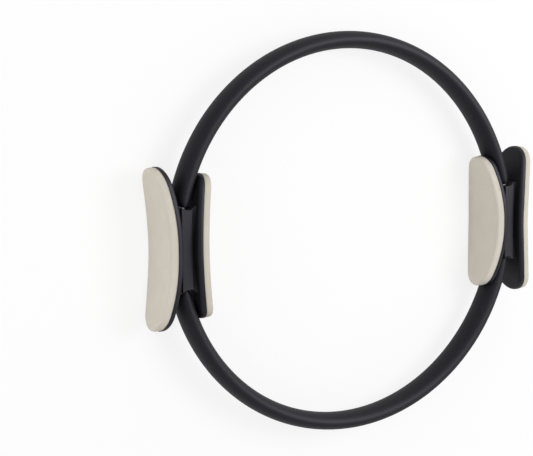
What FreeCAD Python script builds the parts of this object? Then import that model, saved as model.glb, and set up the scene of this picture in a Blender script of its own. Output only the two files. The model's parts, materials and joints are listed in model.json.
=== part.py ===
import FreeCAD, Part
import math
import os

Vector = FreeCAD.Vector

# A pilates ring: a springy hoop with a padded grip on each side, in millimetres and degrees.
# The hoop lies in the XY plane round the origin, and its axis is +Z. The grips sit on the X axis.
# Rear is +Y and front is -Y. Angles run from the middle of the right grip, at +X.

# Hoop: a flat spring band in an oval cover
ring_radius = 175.0
band_width = 18.0
band_thickness = 3.0
band_clearance = 0.2
cover_thickness = 15.6
cover_width = 26.7

# Flexing joints: a round knuckle on one stretch of the hoop turns in the hollow end of the next
grip_hinge_angle = 25.0
middle_hinge_angle = 75.0
knuckle_margin = 0.4
knuckle_clearance = 0.3

# Pads: foam slabs with a hollow face and a rounded border
pad_width = 49.0
pad_thickness = 7.2
pad_edge_radius = 2.8
glue_line = 0.1
outer_pad_length = 140.4
outer_pad_straight = 24.0
outer_pad_end_radius = 20.0
outer_face_offset = 15.0
outer_face_radius = 240.0
inner_pad_length = 125.6
inner_pad_straight = 6.0
inner_pad_end_radius = 17.0
inner_face_offset = 21.9
inner_face_radius = 198.0

# Shells: a plate behind each pad, a web between the plates that clamps the band, and a boss on the web
plate_thickness = 4.6
plate_side_margin = 0.8
plate_end_margin = 0.4
plate_back_radius = 3.3
web_length = 75.0
web_fillet = 1.2
fillet_share = 0.8
boss_height = 2.2
boss_setback = 1.3
boss_margin = 0.25
boss_edge_radius = 0.6
parting_gap = 0.1
mouth_setback = 5.43
mouth_gap = 0.8

# Fasteners: four screws beside the band, with their heads under the outer pad, and a pin through it
screw_diameter = 3.0
screw_spacing = 48.0
screw_wall = 1.6
screw_hole_clearance = 0.15
screw_thread_clearance = 0.05
screw_end_wall = 2.2
screw_head_diameter = 5.6
screw_head_height = 1.9
screw_head_clearance = 0.3
recess_length = 3.2
recess_width = 0.8
recess_depth = 1.1
pin_diameter = 4.0
pin_clearance = 0.05
pin_end_wall = 2.0

# Sizes that follow from the ones above
cover_half_thickness = cover_thickness / 2
cover_half_width = cover_width / 2
knuckle_radius = cover_half_thickness + knuckle_margin
mouth_radius = knuckle_radius + mouth_gap
mouth_angle = math.degrees(math.asin((web_length / 2 + mouth_setback) / ring_radius))
screw_radius = screw_diameter / 2
screw_z = band_width / 2 + band_clearance + screw_wall + screw_radius
web_half_depth = screw_z + screw_radius + screw_wall
outer_axis_x = ring_radius + outer_face_offset + outer_face_radius
outer_plate_front = outer_face_radius + pad_thickness + glue_line
outer_plate_back = outer_plate_front + plate_thickness
inner_axis_x = ring_radius - inner_face_offset - inner_face_radius
inner_plate_front = inner_face_radius + pad_thickness + glue_line
inner_plate_back = inner_plate_front + plate_thickness
outer_web_height = outer_axis_x - outer_plate_back - ring_radius
inner_web_height = ring_radius - inner_axis_x - inner_plate_back
tall = 4 * (cover_width + pad_width)
wide = 2 * ring_radius
same_place = 1e-4


def on_ring(angle):
    """Point on the band's centre line."""
    turn = math.radians(angle)
    return Vector(ring_radius * math.cos(turn), ring_radius * math.sin(turn), 0)


def upright_cylinder(x, y, radius):
    """Cylinder along Z that reaches well past the part on both sides."""
    return Part.makeCylinder(radius, tall, Vector(x, y, -tall / 2))


def rectangle(half_across, half_along):
    """Upright rectangle on the band's centre line: half sizes across the hoop and along its axis."""
    corners = [(-1, -1), (1, -1), (1, 1), (-1, 1), (-1, -1)]
    points = [Vector(ring_radius + i * half_across, 0, j * half_along) for i, j in corners]
    return Part.makePolygon(points)


def oval(half_across, half_along):
    """Upright ellipse on the band's centre line."""
    centre = Vector(ring_radius, 0, 0)
    top = Vector(ring_radius, 0, half_along)
    side = Vector(ring_radius + half_across, 0, 0)
    return Part.Wire(Part.Ellipse(top, side, centre).toShape())


def sweep(face, start, end):
    """Turn a section about the hoop's axis from one angle to another."""
    section = face.copy()
    section.rotate(Vector(0, 0, 0), Vector(0, 0, 1), start)
    return section.revolve(Vector(0, 0, 0), Vector(0, 0, 1), end - start)


def band_section(clearance=0.0):
    return Part.Face(rectangle(band_thickness / 2 + clearance, band_width / 2 + clearance))


def cover_section(clearance=0.0):
    return Part.Face(oval(cover_half_thickness + clearance, cover_half_width + clearance))


def round_end(shape, angle, side, clearance=0.0):
    """Cut a stretch to a round knuckle at an angle; side is +1 where it ends and -1 where it starts."""
    centre = on_ring(angle)
    beyond = Part.makeBox(wide, wide, tall, Vector(-wide / 2, 0 if side > 0 else -wide, -tall / 2))
    beyond.rotate(Vector(0, 0, 0), Vector(0, 0, 1), angle)
    beyond.translate(centre)
    return shape.cut(beyond.cut(upright_cylinder(centre.x, centre.y, knuckle_radius + clearance)))


def hollow_end(shape, angle):
    """Cut a stretch to a hollow that a knuckle turns in."""
    centre = on_ring(angle)
    return shape.cut(upright_cylinder(centre.x, centre.y, knuckle_radius + knuckle_clearance))


def knuckle_reach():
    """Angle by which a round end passes its centre, with a little to spare."""
    return math.degrees(2 * knuckle_radius / ring_radius)


def round_stretch(section, start, end):
    """Stretch of the hoop with a round knuckle at both ends."""
    reach = knuckle_reach()
    shape = sweep(section, start - reach, end + reach)
    return round_end(round_end(shape, start, -1), end, 1)


def hollow_stretch(section, start, end):
    """Stretch of the hoop with a hollow at both ends."""
    return hollow_end(hollow_end(sweep(section, start, end), start), end)


def cover(make_stretch, start, end):
    """Stretch of the cover, with a slot right through it for the band."""
    reach = 2 * knuckle_reach()
    slot = sweep(band_section(band_clearance), start - reach, end + reach)
    return make_stretch(cover_section(), start, end).cut(slot)


def outline(length, width, straight, end_radius):
    """Outline in the YZ plane: straight middle, bowed sides and round ends, all tangent."""
    half_length, half_width, half_straight = length / 2, width / 2, straight / 2
    end_centre = half_length - end_radius
    run = end_centre - half_straight
    rise = half_width - end_radius
    side_radius = (run ** 2 + half_width ** 2 - end_radius ** 2) / (2 * rise)
    turn = math.atan2(run, side_radius - half_width)
    join_y = end_centre + end_radius * math.sin(turn)
    join_z = end_radius * math.cos(turn)
    bow_y = half_straight + side_radius * math.sin(turn / 2)
    bow_z = half_width - side_radius * (1 - math.cos(turn / 2))

    def point(y, z):
        return Vector(0, y, z)

    edges = []
    for sign in (1, -1):
        edges += [
            Part.LineSegment(point(-sign * half_straight, sign * half_width),
                             point(sign * half_straight, sign * half_width)),
            Part.Arc(point(sign * half_straight, sign * half_width), point(sign * bow_y, sign * bow_z),
                     point(sign * join_y, sign * join_z)),
            Part.Arc(point(sign * join_y, sign * join_z), point(sign * half_length, 0),
                     point(sign * join_y, -sign * join_z)),
            Part.Arc(point(sign * join_y, -sign * join_z), point(sign * bow_y, -sign * bow_z),
                     point(sign * half_straight, -sign * half_width)),
        ]
    return Part.Wire([edge.toShape() for edge in edges])


def slab(wire, axis_x, near, far):
    """Outline carried along X, kept between two distances from an upright axis."""
    prism = Part.Face(wire).extrude(Vector(wide, 0, 0))
    return prism.common(upright_cylinder(axis_x, 0, far).cut(upright_cylinder(axis_x, 0, near)))


def edges_at(shape, axis_x, radius):
    """Edges that lie at one distance from an upright axis."""
    chosen = []
    for edge in shape.Edges:
        first, last = edge.ParameterRange
        points = [edge.valueAt(first + share * (last - first)) for share in (0, 0.5, 1)]
        if all(abs(math.hypot(p.x - axis_x, p.y) - radius) < same_place for p in points):
            chosen.append(edge)
    return chosen


def pad(length, straight, end_radius, axis_x, face_radius):
    """Foam pad: hollow face with a rounded border, and a back that follows the plate."""
    wire = outline(length, pad_width, straight, end_radius)
    body = slab(wire, axis_x, face_radius, face_radius + pad_thickness)
    return body.makeFillet(pad_edge_radius, edges_at(body, axis_x, face_radius))


def plate(length, straight, end_radius, axis_x, front):
    """Plate behind a pad, a margin larger all round, with its back edge rounded."""
    wire = outline(length + 2 * plate_end_margin, pad_width + 2 * plate_side_margin, straight,
                   end_radius + plate_side_margin)
    back = front + plate_thickness
    body = slab(wire, axis_x, front, back)
    radius = min(plate_back_radius, fillet_share * plate_thickness)
    return body.makeFillet(radius, edges_at(body, axis_x, back))


def cove(axis_x, side, back, height):
    """Fillets between a plate's back and the web's two faces; the plate lies on one side of its axis."""
    radius = min(web_fillet, fillet_share * height)
    slant = radius * (1 - math.sqrt(0.5))
    foot = web_half_depth + radius
    front = back - plate_thickness
    reach = math.degrees(math.asin(web_length / 2 / back))
    profile = [(back, foot), (front, foot), (front, 0), (back + radius, 0), (back + radius, web_half_depth),
               (back + slant, web_half_depth + slant)]
    pieces = []
    for sign in (1, -1):
        points = [Vector(axis_x + side * from_axis, 0, sign * z) for from_axis, z in profile]
        middle = points.pop()
        edges = [Part.LineSegment(*ends).toShape() for ends in zip(points, points[1:])]
        edges.append(Part.Arc(points[-1], middle, points[0]).toShape())
        section = Part.Face(Part.Wire(edges))
        section.rotate(Vector(axis_x, 0, 0), Vector(0, 0, 1), -reach)
        pieces.append(section.revolve(Vector(axis_x, 0, 0), Vector(0, 0, 1), 2 * reach))
    return pieces


def scooped(shape):
    """Shape with its ends hollowed round the covers' ends."""
    mouths = [on_ring(angle) for angle in (mouth_angle, -mouth_angle)]
    return shape.cut([upright_cylinder(place.x, place.y, mouth_radius) for place in mouths])


def web():
    """Block between the plates with a fillet along each."""
    room = Part.makeBox(wide, web_length, tall, Vector(0, -web_length / 2, -tall / 2))
    block = Part.makeBox(wide, web_length, 2 * web_half_depth, Vector(0, -web_length / 2, -web_half_depth))
    coves = cove(outer_axis_x, -1, outer_plate_back, outer_web_height)
    coves += cove(inner_axis_x, 1, inner_plate_back, inner_web_height)
    cutters = [
        upright_cylinder(outer_axis_x, 0, outer_plate_back - plate_thickness / 2),
        upright_cylinder(inner_axis_x, 0, inner_plate_back - plate_thickness / 2),
    ]
    return scooped(block.fuse(coves).common(room).cut(cutters))


def boss():
    """Straight bar through the web that stands proud of its two faces, between the fillets."""
    inner_side = ring_radius - inner_web_height + web_fillet + boss_margin
    outer_side = ring_radius + outer_web_height - web_fillet - boss_margin
    half_length = web_length / 2 - boss_setback
    half_depth = web_half_depth + boss_height
    bar = Part.makeBox(outer_side - inner_side, 2 * half_length, 2 * half_depth,
                       Vector(inner_side, -half_length, -half_depth))
    long_edges = [edge for edge in bar.Edges if abs(edge.tangentAt(edge.FirstParameter).y) > 1 - same_place]
    return scooped(bar.makeFillet(boss_edge_radius, long_edges))


def web_halves():
    """Outer half of the web, and its inner half with the boss, which lies over both."""
    block = web()
    inner_side = upright_cylinder(0, 0, ring_radius - parting_gap / 2)
    under_boss = web_half_depth + parting_gap
    outer_room = Part.makeBox(wide, wide, 2 * under_boss, Vector(0, -wide / 2, -under_boss)).cut(inner_side)
    outer_half = block.cut(upright_cylinder(0, 0, ring_radius + parting_gap / 2))
    inner_half = block.common(inner_side).fuse(boss().cut(outer_room))
    return outer_half, inner_half


def along_x(radius, start, end, y=0.0, z=0.0):
    """Cylinder along X between two places."""
    return Part.makeCylinder(radius, end - start, Vector(start, y, z), Vector(1, 0, 0))


def screw_places():
    return [(i * screw_spacing / 2, j * screw_z) for i in (-1, 1) for j in (-1, 1)]


def screw_head_top():
    """Place of the head's top: just under the outer plate's face at its nearest point."""
    inward = screw_spacing / 2 - screw_head_diameter / 2 - screw_head_clearance
    return outer_axis_x - math.sqrt(outer_plate_front ** 2 - inward ** 2) - screw_head_clearance


def screw_tip():
    return inner_axis_x + inner_plate_front + screw_end_wall


def screw(y, z):
    """Round-headed screw with a cross recess."""
    top = screw_head_top()
    body = along_x(screw_radius, screw_tip(), top - screw_head_height, y, z)
    body = body.fuse(along_x(screw_head_diameter / 2, top - screw_head_height, top, y, z))
    for size_y, size_z in ((recess_length, recess_width), (recess_width, recess_length)):
        corner = Vector(top - recess_depth, y - size_y / 2, z - size_z / 2)
        body = body.cut(Part.makeBox(2 * recess_depth, size_y, size_z, corner))
    return body


def outer_screw_holes():
    """Clearance holes with a pocket for each head."""
    seat = screw_head_top() - screw_head_height
    holes = []
    for y, z in screw_places():
        holes.append(along_x(screw_radius + screw_hole_clearance, screw_tip(), seat, y, z))
        holes.append(along_x(screw_head_diameter / 2 + screw_head_clearance, seat, wide, y, z))
    return holes


def inner_screw_holes():
    """Blind holes for the threads."""
    end = screw_tip() - screw_thread_clearance
    radius = screw_radius + screw_thread_clearance
    return [along_x(radius, end, ring_radius, y, z) for y, z in screw_places()]


def pin_half_length():
    return outer_axis_x - outer_plate_front - ring_radius - pin_end_wall


def pin_body(clearance=0.0):
    """Locating pin through the middle of the band, or the hole that it fits."""
    half = pin_half_length() + clearance
    return along_x(pin_diameter / 2 + clearance, ring_radius - half, ring_radius + half)


def hoop_room():
    """Room in the shells for the band and for the covers, from their round ends to past the plates' tips."""
    band_room = sweep(band_section(band_clearance), -grip_hinge_angle, grip_hinge_angle)
    past_tip = 2 * grip_hinge_angle
    rear = sweep(cover_section(knuckle_clearance), mouth_angle - knuckle_reach(), past_tip)
    rear = round_end(rear, mouth_angle, -1, knuckle_clearance)
    front = rear.mirror(Vector(0, 0, 0), Vector(0, 1, 0))
    return [band_room, pin_body(pin_clearance), rear, front]


def right_grip():
    """Every piece of the right grip, by name."""
    outer_plate = plate(outer_pad_length, outer_pad_straight, outer_pad_end_radius,
                        outer_axis_x, outer_plate_front)
    inner_plate = plate(inner_pad_length, inner_pad_straight, inner_pad_end_radius,
                        inner_axis_x, inner_plate_front)
    band = round_stretch(band_section(), -grip_hinge_angle, grip_hinge_angle)
    outer_half, inner_half = web_halves()
    outer_shell = outer_plate.fuse(outer_half).removeSplitter()
    inner_shell = inner_plate.fuse(inner_half).removeSplitter()
    pieces = {
        "outer_shell": outer_shell.cut(hoop_room() + outer_screw_holes()),
        "inner_shell": inner_shell.cut(hoop_room() + inner_screw_holes()),
        "outer_pad": pad(outer_pad_length, outer_pad_straight, outer_pad_end_radius,
                         outer_axis_x, outer_face_radius),
        "inner_pad": pad(inner_pad_length, inner_pad_straight, inner_pad_end_radius,
                         inner_axis_x, inner_face_radius),
        "screws": Part.makeCompound([screw(y, z) for y, z in screw_places()]),
        "pin": pin_body(),
        "grip_band": band.cut(pin_body(pin_clearance)),
        "grip_rear_cover": cover(round_stretch, mouth_angle, grip_hinge_angle),
        "grip_front_cover": cover(round_stretch, -grip_hinge_angle, -mouth_angle),
    }
    return pieces


def half_hoop():
    """The stretches of the band and cover between the grips on the rear side, by name."""
    near, far = grip_hinge_angle, middle_hinge_angle
    places = (("right", hollow_stretch, near, far),
              ("middle", round_stretch, far, 180 - far),
              ("left", hollow_stretch, 180 - far, 180 - near))
    pieces = {}
    for place, make_stretch, start, end in places:
        pieces[place + "_cover"] = cover(make_stretch, start, end)
        pieces[place + "_band"] = make_stretch(band_section(), start, end)
    return pieces


def halves(shape):
    """The left and right half of a stretch, a running clearance apart."""
    left_room = Part.makeBox(wide, 2 * wide, tall, Vector(-wide - knuckle_clearance / 2, -wide, -tall / 2))
    left = shape.common(left_room)
    right = left.mirror(Vector(0, 0, 0), Vector(1, 0, 0))
    return {"left": left, "right": right}


def save(name, shape):
    shape.exportStep("parts/" + name + ".step")


def main():
    os.makedirs("parts", exist_ok=True)
    origin = Vector(0, 0, 0)
    for name, shape in right_grip().items():
        save("right_" + name, shape)
        save("left_" + name, shape.mirror(origin, Vector(1, 0, 0)))
    for name, shape in half_hoop().items():
        save("rear_" + name, shape)
        place, kind = name.split("_")
        front = shape.mirror(origin, Vector(0, 1, 0))
        if place == "middle":
            for side, half in halves(front).items():
                save("front_middle_" + side + "_" + kind, half)
        else:
            save("front_" + name, front)


main()
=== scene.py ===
import json
import math

import bmesh
import bpy
from mathutils import Matrix, Vector

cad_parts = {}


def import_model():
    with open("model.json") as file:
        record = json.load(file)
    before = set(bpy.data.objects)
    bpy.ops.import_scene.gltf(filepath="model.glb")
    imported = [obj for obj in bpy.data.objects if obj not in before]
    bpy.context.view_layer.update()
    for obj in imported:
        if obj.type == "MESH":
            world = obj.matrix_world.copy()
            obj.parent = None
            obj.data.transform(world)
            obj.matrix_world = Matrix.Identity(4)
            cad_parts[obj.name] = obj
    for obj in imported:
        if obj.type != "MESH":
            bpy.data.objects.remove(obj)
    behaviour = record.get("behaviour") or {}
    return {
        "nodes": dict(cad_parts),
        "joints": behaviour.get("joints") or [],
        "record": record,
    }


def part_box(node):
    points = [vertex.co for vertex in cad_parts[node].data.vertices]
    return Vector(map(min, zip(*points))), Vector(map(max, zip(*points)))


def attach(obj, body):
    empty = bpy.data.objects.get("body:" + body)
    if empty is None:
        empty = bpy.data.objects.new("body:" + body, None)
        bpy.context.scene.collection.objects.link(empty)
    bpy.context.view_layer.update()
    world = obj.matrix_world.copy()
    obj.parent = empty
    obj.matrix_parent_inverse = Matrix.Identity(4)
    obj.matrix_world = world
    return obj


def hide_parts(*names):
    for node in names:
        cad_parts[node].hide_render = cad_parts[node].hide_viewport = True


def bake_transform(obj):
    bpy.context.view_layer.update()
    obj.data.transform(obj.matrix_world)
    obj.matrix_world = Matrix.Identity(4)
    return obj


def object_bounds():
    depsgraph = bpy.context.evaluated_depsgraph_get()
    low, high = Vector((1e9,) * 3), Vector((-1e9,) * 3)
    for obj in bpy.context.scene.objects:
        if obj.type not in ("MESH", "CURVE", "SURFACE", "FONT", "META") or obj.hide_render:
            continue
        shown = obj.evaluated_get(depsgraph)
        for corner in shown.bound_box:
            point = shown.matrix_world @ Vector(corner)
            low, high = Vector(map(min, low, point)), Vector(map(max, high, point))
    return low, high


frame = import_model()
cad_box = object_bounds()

# A pilates ring, in metres. The hoop lies flat round the origin with its axis along +Z, and the grips sit on
# the X axis. Angles along the hoop run from the middle of the right grip at +X towards the rear at +Y.

# Sizes that the frame gives
joints = {joint["name"]: joint for joint in frame["joints"]}
grip_pivot = Vector(joints["squeeze"]["pos_m"])
ring_radius = grip_pivot.length
grip_hinge = math.atan2(grip_pivot.y, -grip_pivot.x)
cover_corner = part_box("rear_middle_cover")[1]
cover_half_width = cover_corner.z
cover_half_thickness = cover_corner.y - ring_radius
band_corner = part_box("rear_middle_band")[1]
band_half_width = band_corner.z
band_half_thickness = band_corner.y - ring_radius

# Hoop: the angles at which its pieces meet, and how far past the grip's hinge a strip starts
mouth_angle = math.radians(14.2)
side_seam = math.radians(50.0)
middle_seam = math.radians(90.0)
band_end_gap = math.radians(3.0)

# Open seam at the front: its width, and how far it slants along the hoop so that nothing shows through it
front_gap = 0.00004
front_lean = 0.0006

# Cover: the band's channel, the rounded ends inside the grips, and the fineness of the mesh
channel_width_ratio = 1.1
channel_thickness_ratio = 1.5
channel_half_width = band_half_width * channel_width_ratio
channel_half_thickness = band_half_thickness * channel_thickness_ratio
channel_power = 8
end_lip = 0.0004
end_half_thickness = channel_half_thickness + end_lip
end_width_ratio = 0.92
end_rings = 10
ring_step = math.radians(0.75)
section_points = 72

# Pads: a foam slab with a hollow face and a rounded border, for each side of a grip
pad_thickness = 0.0072
pad_edge_radius = 0.0028
pad_crown = 0.0004
pad_side_bulge = 0.00025
pad_forms = {
    "outer": {"face_x": 0.190, "face_radius": 0.240, "straight": 0.024, "end_radius": 0.020, "facing": 1},
    "inner": {"face_x": 0.1531, "face_radius": 0.198, "straight": 0.006, "end_radius": 0.017, "facing": -1},
}
pad_wall_shares = (1.0, 0.92, 0.7, 0.45, 0.2)
pad_round_degrees = 9
pad_face_rings = 12
outline_step = 0.0016

# Meshes: points nearer than this are one point, and edges sharper than this stay sharp
same_place = 1e-6
sharp_edge = math.radians(40)

# Camera: the photograph's direction, and where the hoop's centre lies in its view
camera_azimuth = math.radians(28.846)
camera_elevation = math.radians(7.703)
camera_roll = math.radians(-0.606)
centre_in_view = Vector((0.075, -0.00425, -1.2822))
camera_lens = 94.71
camera_sensor = 36.0

# Light: the key lifts matt surfaces and shows as a glint, the fill only lifts, and the card only shows
lamps = {
    "key": {"place": (0.55, 0.25, 1.0), "size": 0.6, "power": 6.5},
    "fill": {"place": (-1.2, 0.1, 0.5), "size": 0.9, "power": 4.6, "glints": False},
    "card": {"place": (0.75, 0.5, 0.95), "size": 1.1, "power": 22, "lifts": False},
}
world_light = 0.6

# Floor: its size and finish, the share of it that takes shadow, and the distances over which that fades out
floor_size = 12.0
floor_roughness = 0.9
floor_shadow_share = 0.2
floor_fade_start = 0.5
floor_fade_end = 1.6

# Colours, linear
foam_colour = (0.59, 0.546, 0.474)
shell_colour = (0.0085, 0.0080, 0.0108)
cover_colour = (0.0061, 0.0058, 0.0080)
fibre_colour = (0.60, 0.60, 0.56)
steel_colour = (0.55, 0.55, 0.56)
floor_colour = (0.92, 0.92, 0.92, 1)
white = (1, 1, 1, 1)

# Finish: the black pieces' gloss, and the texture values between which a colour turns from dark to light
black_gloss_tint = (0.925, 0.90, 1.0, 1)
black_gloss_level = 0.21
dark_tone_end = 0.3
light_tone_end = 0.7


def on_ring(angle):
    """Point on the hoop's centre line."""
    return Vector((ring_radius * math.cos(angle), ring_radius * math.sin(angle), 0))


def shaded(colour, factor):
    """Darker or lighter tone of a colour."""
    return (colour[0] * factor, colour[1] * factor, colour[2] * factor, 1)


# Materials


def new_material(name):
    """Material with one shader, and the object's own coordinates for its textures."""
    material = bpy.data.materials.new(name)
    material.use_nodes = True
    nodes = material.node_tree.nodes
    shader = nodes["Principled BSDF"]
    place = nodes.new("ShaderNodeTexCoord").outputs["Object"]
    return material, shader, place


def add_noise(material, place, scale, detail):
    noise = material.node_tree.nodes.new("ShaderNodeTexNoise")
    noise.inputs["Scale"].default_value = scale
    noise.inputs["Detail"].default_value = detail
    material.node_tree.links.new(place, noise.inputs["Vector"])
    return noise.outputs["Fac"]


def add_cells(material, place, scale):
    cells = material.node_tree.nodes.new("ShaderNodeTexVoronoi")
    cells.inputs["Scale"].default_value = scale
    material.node_tree.links.new(place, cells.inputs["Vector"])
    return cells.outputs["Distance"]


def add_grain(material, place, stretch):
    """Noise drawn out along some axes, for grain that runs one way."""
    mapping = material.node_tree.nodes.new("ShaderNodeMapping")
    mapping.inputs["Scale"].default_value = stretch
    material.node_tree.links.new(place, mapping.inputs["Vector"])
    return add_noise(material, mapping.outputs["Vector"], scale=1, detail=3)


def spread_colour(material, shader, value, colour, darkest, lightest):
    """Base colour that drifts between two tones of a colour."""
    ramp = material.node_tree.nodes.new("ShaderNodeValToRGB")
    dark, light = ramp.color_ramp.elements
    dark.position = dark_tone_end
    dark.color = shaded(colour, darkest)
    light.position = light_tone_end
    light.color = shaded(colour, lightest)
    material.node_tree.links.new(value, ramp.inputs["Fac"])
    material.node_tree.links.new(ramp.outputs["Color"], shader.inputs["Base Color"])


def spread_roughness(material, shader, value, low, high):
    span = material.node_tree.nodes.new("ShaderNodeMapRange")
    span.inputs["To Min"].default_value = low
    span.inputs["To Max"].default_value = high
    material.node_tree.links.new(value, span.inputs["Value"])
    material.node_tree.links.new(span.outputs["Result"], shader.inputs["Roughness"])


def add_bump(material, shader, heights, strength, depth):
    """Relief from several textures, each on top of the last."""
    last = None
    for height in heights:
        bump = material.node_tree.nodes.new("ShaderNodeBump")
        bump.inputs["Strength"].default_value = strength
        bump.inputs["Distance"].default_value = depth
        material.node_tree.links.new(height, bump.inputs["Height"])
        if last is not None:
            material.node_tree.links.new(last, bump.inputs["Normal"])
        last = bump.outputs["Normal"]
    material.node_tree.links.new(last, shader.inputs["Normal"])


def black_gloss(shader):
    """Faint cool gloss that the black plastic and the black sleeve share."""
    shader.inputs["Specular IOR Level"].default_value = black_gloss_level
    shader.inputs["Specular Tint"].default_value = black_gloss_tint


def foam_material():
    """Fine-celled matt foam: faint mottling, closed pores and a soft skin."""
    material, shader, place = new_material("pad_foam_finish")
    drift = add_noise(material, place, scale=60, detail=3)
    pores = add_cells(material, place, scale=2600)
    skin = add_noise(material, place, scale=900, detail=4)
    spread_colour(material, shader, drift, foam_colour, darkest=0.975, lightest=1.025)
    spread_roughness(material, shader, skin, low=0.78, high=0.92)
    add_bump(material, shader, (pores, skin), strength=0.18, depth=0.00012)
    shader.inputs["Specular IOR Level"].default_value = 0.25
    shader.inputs["Sheen Weight"].default_value = 0.08
    return material


def shell_material():
    """Moulded plastic with a fine spark-eroded grain."""
    material, shader, place = new_material("grip_shell_finish")
    drift = add_noise(material, place, scale=90, detail=3)
    grain = add_noise(material, place, scale=2400, detail=5)
    spread_colour(material, shader, drift, shell_colour, darkest=0.85, lightest=1.15)
    spread_roughness(material, shader, grain, low=0.44, high=0.60)
    add_bump(material, shader, (grain,), strength=0.22, depth=0.00012)
    black_gloss(shader)
    return material


def cover_material():
    """Matt foam sleeve with a smooth closed skin."""
    material, shader, place = new_material("hoop_cover_finish")
    drift = add_noise(material, place, scale=70, detail=3)
    skin = add_noise(material, place, scale=1600, detail=4)
    pores = add_cells(material, place, scale=3000)
    spread_colour(material, shader, drift, cover_colour, darkest=0.88, lightest=1.12)
    spread_roughness(material, shader, skin, low=0.53, high=0.66)
    add_bump(material, shader, (pores, skin), strength=0.16, depth=0.0001)
    black_gloss(shader)
    return material


def fibre_material():
    """Pultruded glass fibre: pale resin with strands along the strip."""
    material, shader, place = new_material("spring_band_finish")
    strands = add_grain(material, place, stretch=(60, 60, 2200))
    spread_colour(material, shader, strands, fibre_colour, darkest=0.8, lightest=1.08)
    spread_roughness(material, shader, strands, low=0.34, high=0.5)
    add_bump(material, shader, (strands,), strength=0.2, depth=0.0001)
    return material


def steel_material():
    """Zinc-plated steel with a faint turned grain."""
    material, shader, place = new_material("fastener_steel_finish")
    turned = add_grain(material, place, stretch=(3200, 260, 260))
    spread_colour(material, shader, turned, steel_colour, darkest=0.85, lightest=1.1)
    spread_roughness(material, shader, turned, low=0.26, high=0.42)
    add_bump(material, shader, (turned,), strength=0.1, depth=0.00005)
    shader.inputs["Metallic"].default_value = 1.0
    return material


materials = {
    "pad_foam": foam_material(),
    "grip_shell": shell_material(),
    "hoop_cover": cover_material(),
    "spring_band": fibre_material(),
    "fastener_steel": steel_material(),
}


# Pieces


def new_piece(name, mesh, slot):
    """Object from a bmesh, shaded smooth apart from its sharp edges, in the finish of a record's slot."""
    bmesh.ops.recalc_face_normals(mesh, faces=mesh.faces)
    data = bpy.data.meshes.new(name)
    mesh.to_mesh(data)
    mesh.free()
    data.shade_smooth()
    data.set_sharp_from_angle(angle=sharp_edge)
    data.materials.append(materials[slot])
    piece = bpy.data.objects.new(name, data)
    bpy.context.scene.collection.objects.link(piece)
    return piece


def add_rings(mesh, rings):
    """Closed rings of points as vertices, joined in order by faces."""
    rows = [[mesh.verts.new(point) for point in ring] for ring in rings]
    for first, second in zip(rows, rows[1:]):
        for i in range(len(first)):
            j = (i + 1) % len(first)
            mesh.faces.new((first[i], first[j], second[j], second[i]))
    return rows


def oval(angle, half_thickness, half_width, power=2, along=0.0):
    """Ring of points round the hoop's line: an ellipse, or squarer with a higher power."""
    out = Vector((math.cos(angle), math.sin(angle), 0))
    onward = Vector((-math.sin(angle), math.cos(angle), 0))
    middle = on_ring(angle) + along * onward
    points = []
    for i in range(section_points):
        turn = 2 * math.pi * i / section_points
        across = math.copysign(abs(math.cos(turn)) ** (2 / power), math.cos(turn))
        upward = math.copysign(abs(math.sin(turn)) ** (2 / power), math.sin(turn))
        points.append(middle + half_thickness * across * out + half_width * upward * Vector((0, 0, 1)))
    return points


def angles_between(start, end):
    """Evenly spaced angles for the rings of a piece."""
    count = max(2, round(abs(end - start) / ring_step))
    return [start + (end - start) * i / count for i in range(count + 1)]


def mouth_rings(angle, direction):
    """Rounded end of the cover inside a grip's mouth, from its tip to the full oval."""
    last_turn = math.acos(end_half_thickness / cover_half_thickness)
    rings = []
    for i in range(end_rings, 0, -1):
        turn = last_turn * i / end_rings
        shrink = math.cos(turn)
        width = cover_half_width * (end_width_ratio + (1 - end_width_ratio) * shrink)
        back = -direction * cover_half_thickness * math.sin(turn)
        rings.append(oval(angle, cover_half_thickness * shrink, width, along=back))
    return rings


def cover_piece(name, start, end, channel_end, from_mouth=False):
    """Stretch of the foam sleeve with the band's channel through it, rounded where it starts in a mouth.

    At a slanted seam the channel ends a little before or after the skin does.
    """
    mesh = bmesh.new()
    direction = math.copysign(1, end - start)
    outside = [oval(a, cover_half_thickness, cover_half_width) for a in angles_between(start, end)]
    inside = [oval(a, channel_half_thickness, channel_half_width, channel_power)
              for a in angles_between(channel_end, start)]
    if from_mouth:
        tip = -direction * math.sqrt(cover_half_thickness ** 2 - end_half_thickness ** 2)
        outside = mouth_rings(start, direction) + outside
        inside.append(oval(start, channel_half_thickness, channel_half_width, channel_power, along=tip))
    rows = add_rings(mesh, outside + inside)
    for i in range(section_points):
        j = (i + 1) % section_points
        mesh.faces.new((rows[-1][i], rows[-1][j], rows[0][j], rows[0][i]))
    return new_piece(name, mesh, "hoop_cover")


def band_piece(name, start, end):
    """Stretch of the flat spring strip."""
    mesh = bmesh.new()
    section = ((-1, -1), (1, -1), (1, 1), (-1, 1))
    rings = []
    for angle in angles_between(start, end):
        out = Vector((math.cos(angle), math.sin(angle), 0))
        rings.append([on_ring(angle) + i * band_half_thickness * out + Vector((0, 0, j * band_half_width))
                      for i, j in section])
    rows = add_rings(mesh, rings)
    mesh.faces.new(rows[0])
    mesh.faces.new(rows[-1])
    return new_piece(name, mesh, "spring_band")


def hoop_angle(angle, half, side):
    """Angle on any quarter of the hoop, from the matching one on its rear right quarter."""
    rear = math.pi - angle if side == "left" else angle
    return rear if half == "rear" else -rear


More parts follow.
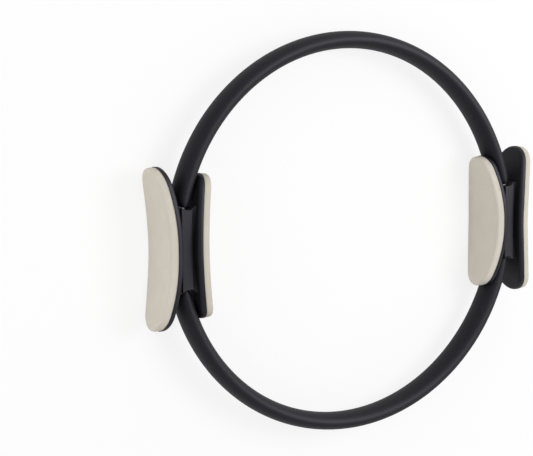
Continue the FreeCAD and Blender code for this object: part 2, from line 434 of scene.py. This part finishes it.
def hoop():
    """Covers and strips between the grips."""
    for half in ("rear", "front"):
        for side in ("left", "right"):
            arc = half + "_" + side
            middle = "rear_middle" if half == "rear" else "front_middle_" + side
            grip_cover = side + "_grip_" + half + "_cover"
            mouth = hoop_angle(mouth_angle, half, side)
            strip_start = hoop_angle(grip_hinge + band_end_gap, half, side)
            seam = hoop_angle(side_seam, half, side)
            crown = hoop_angle(middle_seam, half, side)
            channel_crown = crown
            if half == "front":
                crown = hoop_angle(middle_seam - front_gap / 2 / ring_radius, half, side)
                channel_crown = crown - front_lean / ring_radius

            lower = cover_piece(arc + "_lower_sleeve", mouth, seam, seam, from_mouth=True)
            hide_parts(grip_cover, arc + "_cover")
            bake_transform(lower)

            upper = cover_piece(arc + "_upper_sleeve", seam, crown, channel_crown)
            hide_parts(arc + "_cover", middle + "_cover")
            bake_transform(upper)

            strip = band_piece(arc + "_lower_strip", strip_start, seam)
            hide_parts(arc + "_band")
            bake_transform(strip)

            strip = band_piece(arc + "_upper_strip", seam, crown)
            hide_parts(arc + "_band", middle + "_band")
            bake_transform(strip)


def outline(length, width, straight, end_radius):
    """Points and outward normals round a pad: straight middle, bowed sides and round ends, all tangent."""
    half_length, half_width, half_straight = length / 2, width / 2, straight / 2
    end_centre = half_length - end_radius
    run = end_centre - half_straight
    side_radius = (run ** 2 + half_width ** 2 - end_radius ** 2) / (2 * (half_width - end_radius))
    turn = math.atan2(run, side_radius - half_width)
    quarter = []
    count = round(half_straight / outline_step)
    for i in range(count):
        quarter.append((half_straight * i / count, half_width, 0.0))
    count = round(side_radius * turn / outline_step)
    for i in range(count):
        angle = turn * i / count
        quarter.append((half_straight + side_radius * math.sin(angle),
                        half_width - side_radius * (1 - math.cos(angle)), angle))
    count = round(end_radius * (math.pi / 2 - turn) / outline_step)
    for i in range(count + 1):
        angle = turn + (math.pi / 2 - turn) * i / count
        quarter.append((end_centre + end_radius * math.sin(angle), end_radius * math.cos(angle), angle))
    half = [(y, z, math.sin(a), math.cos(a)) for y, z, a in quarter]
    half += [(y, -z, ny, -nz) for y, z, ny, nz in reversed(half[:-1])]
    return half + [(-y, z, -ny, nz) for y, z, ny, nz in reversed(half[1:-1])]


def pad_profile():
    """Border of a pad from its back to its face: how far each ring lies inside the outline, and its depth."""
    profile = []
    wall = pad_thickness - pad_edge_radius
    for share in pad_wall_shares:
        bulge = pad_side_bulge * math.sin(math.pi * share)
        profile.append((pad_side_bulge - bulge, pad_edge_radius + wall * share))
    for degrees in range(0, 90 + pad_round_degrees, pad_round_degrees):
        angle = math.radians(degrees)
        profile.append((pad_side_bulge + pad_edge_radius * (1 - math.cos(angle)),
                        pad_edge_radius * (1 - math.sin(angle))))
    return profile


def pad_rings(length, width, form):
    """Rings of a pad from the middle of its back, round its border, to the middle of its face."""
    points = outline(length, width, form["straight"], form["end_radius"])
    spine = (length - width) / length

    def across(inset, share, depth):
        ring = []
        for y, z, ny, nz in points:
            along = (y - inset * ny) * (spine + (1 - spine) * share)
            ring.append((along, (z - inset * nz) * share, depth))
        return ring

    profile = pad_profile()
    back_inset, back_depth = profile[0]
    rings = [across(back_inset, i / pad_face_rings, back_depth) for i in range(pad_face_rings)]
    rings += [across(inset, 1.0, depth) for inset, depth in profile]
    face_inset = profile[-1][0]
    for i in range(pad_face_rings - 1, -1, -1):
        share = i / pad_face_rings
        rings.append(across(face_inset, share, -pad_crown * (1 - share ** 2)))
    return rings


def pad_piece(side, kind):
    """Pad on one side of a grip, curved to the plate behind it."""
    node = side + "_" + kind + "_pad"
    form = pad_forms[kind]
    low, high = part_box(node)
    mirror = -1 if side == "left" else 1
    axis_x = form["face_x"] + form["facing"] * form["face_radius"]
    mesh = bmesh.new()
    rings = []
    for ring in pad_rings(high.y - low.y, high.z - low.z, form):
        bent = []
        for y, z, depth in ring:
            reach = math.sqrt((form["face_radius"] + depth) ** 2 - y ** 2)
            bent.append(Vector((mirror * (axis_x - form["facing"] * reach), y, z)))
        rings.append(bent)
    add_rings(mesh, rings)
    bmesh.ops.remove_doubles(mesh, verts=mesh.verts, dist=same_place)
    piece = new_piece(node + "_foam", mesh, "pad_foam")
    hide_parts(node)
    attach(piece, side + "_grip")


def grips():
    for side in ("left", "right"):
        for kind in pad_forms:
            pad_piece(side, kind)


def finish_nodes():
    """The CAD nodes that stay take the same finishes."""
    for subpart in frame["record"]["subparts"]:
        node = frame["nodes"][subpart["node"]]
        node.data.materials.clear()
        node.data.materials.append(materials[subpart["material_slot"]])


# Studio


def camera():
    """Camera at the photograph's angle. The photograph's top is the rear of the hoop."""
    level = math.cos(camera_elevation)
    back = Vector((-math.sin(camera_azimuth) * level,
                   math.sin(camera_elevation),
                   math.cos(camera_azimuth) * level))
    right = Vector((0, 1, 0)).cross(back).normalized()
    up = back.cross(right)
    rolled_right = math.cos(camera_roll) * right + math.sin(camera_roll) * up
    rolled_up = math.cos(camera_roll) * up - math.sin(camera_roll) * right
    rotation = Matrix((rolled_right, rolled_up, back)).transposed()
    data = bpy.data.cameras.new("camera")
    data.sensor_fit = "HORIZONTAL"
    data.sensor_width = camera_sensor
    data.lens = camera_lens
    eye = bpy.data.objects.new("camera", data)
    eye.matrix_world = Matrix.Translation(-(rotation @ centre_in_view)) @ rotation.to_4x4()
    bpy.context.scene.collection.objects.link(eye)
    bpy.context.scene.camera = eye


def area_light(name, place, size, power, lifts=True, glints=True):
    """Soft square lamp that faces the hoop's centre: it lifts matt surfaces, shows as a glint, or both."""
    data = bpy.data.lights.new(name, "AREA")
    data.size = size
    data.energy = power
    lamp = bpy.data.objects.new(name, data)
    lamp.location = place
    lamp.rotation_euler = (-Vector(place)).to_track_quat("-Z", "Y").to_euler()
    lamp.visible_diffuse = lifts
    lamp.visible_glossy = glints
    bpy.context.scene.collection.objects.link(lamp)


def seen_directly(nodes, links):
    """1 for what the camera sees directly, in a reflection or through glass."""
    path = nodes.new("ShaderNodeLightPath")
    last = path.outputs["Is Camera Ray"]
    for name in ("Is Glossy Ray", "Is Transmission Ray"):
        most = nodes.new("ShaderNodeMath")
        most.operation = "MAXIMUM"
        links.new(last, most.inputs[0])
        links.new(path.outputs[name], most.inputs[1])
        last = most.outputs[0]
    return last


def whiteness(nodes, links):
    """Share of plain white in the floor as it is seen: all of it far from the ring."""
    distance = nodes.new("ShaderNodeVectorMath")
    distance.operation = "LENGTH"
    links.new(nodes.new("ShaderNodeTexCoord").outputs["Object"], distance.inputs[0])
    fade = nodes.new("ShaderNodeMapRange")
    fade.inputs["From Min"].default_value = floor_fade_start
    fade.inputs["From Max"].default_value = floor_fade_end
    fade.inputs["To Min"].default_value = 1 - floor_shadow_share
    links.new(distance.outputs["Value"], fade.inputs["Value"])
    return fade.outputs["Result"]


def floor_material():
    """Pale paper that is seen as white, with a faint shadow near the ring."""
    material = bpy.data.materials.new("floor_paper")
    material.use_nodes = True
    nodes, links = material.node_tree.nodes, material.node_tree.links
    paper = nodes["Principled BSDF"]
    paper.inputs["Base Color"].default_value = floor_colour
    paper.inputs["Roughness"].default_value = floor_roughness
    paper.inputs["Specular IOR Level"].default_value = 0.0
    glow = nodes.new("ShaderNodeEmission")
    seen = nodes.new("ShaderNodeMixShader")
    links.new(whiteness(nodes, links), seen.inputs["Fac"])
    links.new(paper.outputs["BSDF"], seen.inputs[1])
    links.new(glow.outputs["Emission"], seen.inputs[2])
    choice = nodes.new("ShaderNodeMixShader")
    links.new(seen_directly(nodes, links), choice.inputs["Fac"])
    links.new(paper.outputs["BSDF"], choice.inputs[1])
    links.new(seen.outputs["Shader"], choice.inputs[2])
    links.new(choice.outputs["Shader"], nodes["Material Output"].inputs["Surface"])
    return material


def floor():
    """Level floor that the ring lies on."""
    mesh = bmesh.new()
    bmesh.ops.create_grid(mesh, x_segments=1, y_segments=1, size=floor_size / 2)
    data = bpy.data.meshes.new("floor")
    mesh.to_mesh(data)
    mesh.free()
    data.materials.append(floor_material())
    ground = bpy.data.objects.new("floor", data)
    ground.location.z = cad_box[0].z
    bpy.context.scene.collection.objects.link(ground)


def world():
    """Even white surround: dimmer as light than as the backdrop that is seen."""
    surround = bpy.data.worlds.new("studio")
    bpy.context.scene.world = surround
    surround.use_nodes = True
    nodes, links = surround.node_tree.nodes, surround.node_tree.links
    light = nodes["Background"]
    light.inputs["Color"].default_value = white
    light.inputs["Strength"].default_value = world_light
    backdrop = nodes.new("ShaderNodeBackground")
    backdrop.inputs["Color"].default_value = white
    choice = nodes.new("ShaderNodeMixShader")
    links.new(seen_directly(nodes, links), choice.inputs["Fac"])
    links.new(light.outputs["Background"], choice.inputs[1])
    links.new(backdrop.outputs["Background"], choice.inputs[2])
    links.new(choice.outputs["Shader"], nodes["World Output"].inputs["Surface"])


def studio():
    camera()
    floor()
    world()
    for name, lamp in lamps.items():
        area_light(name, **lamp)
    bpy.context.scene.view_settings.view_transform = "Standard"


finish_nodes()
hoop()
grips()
studio()
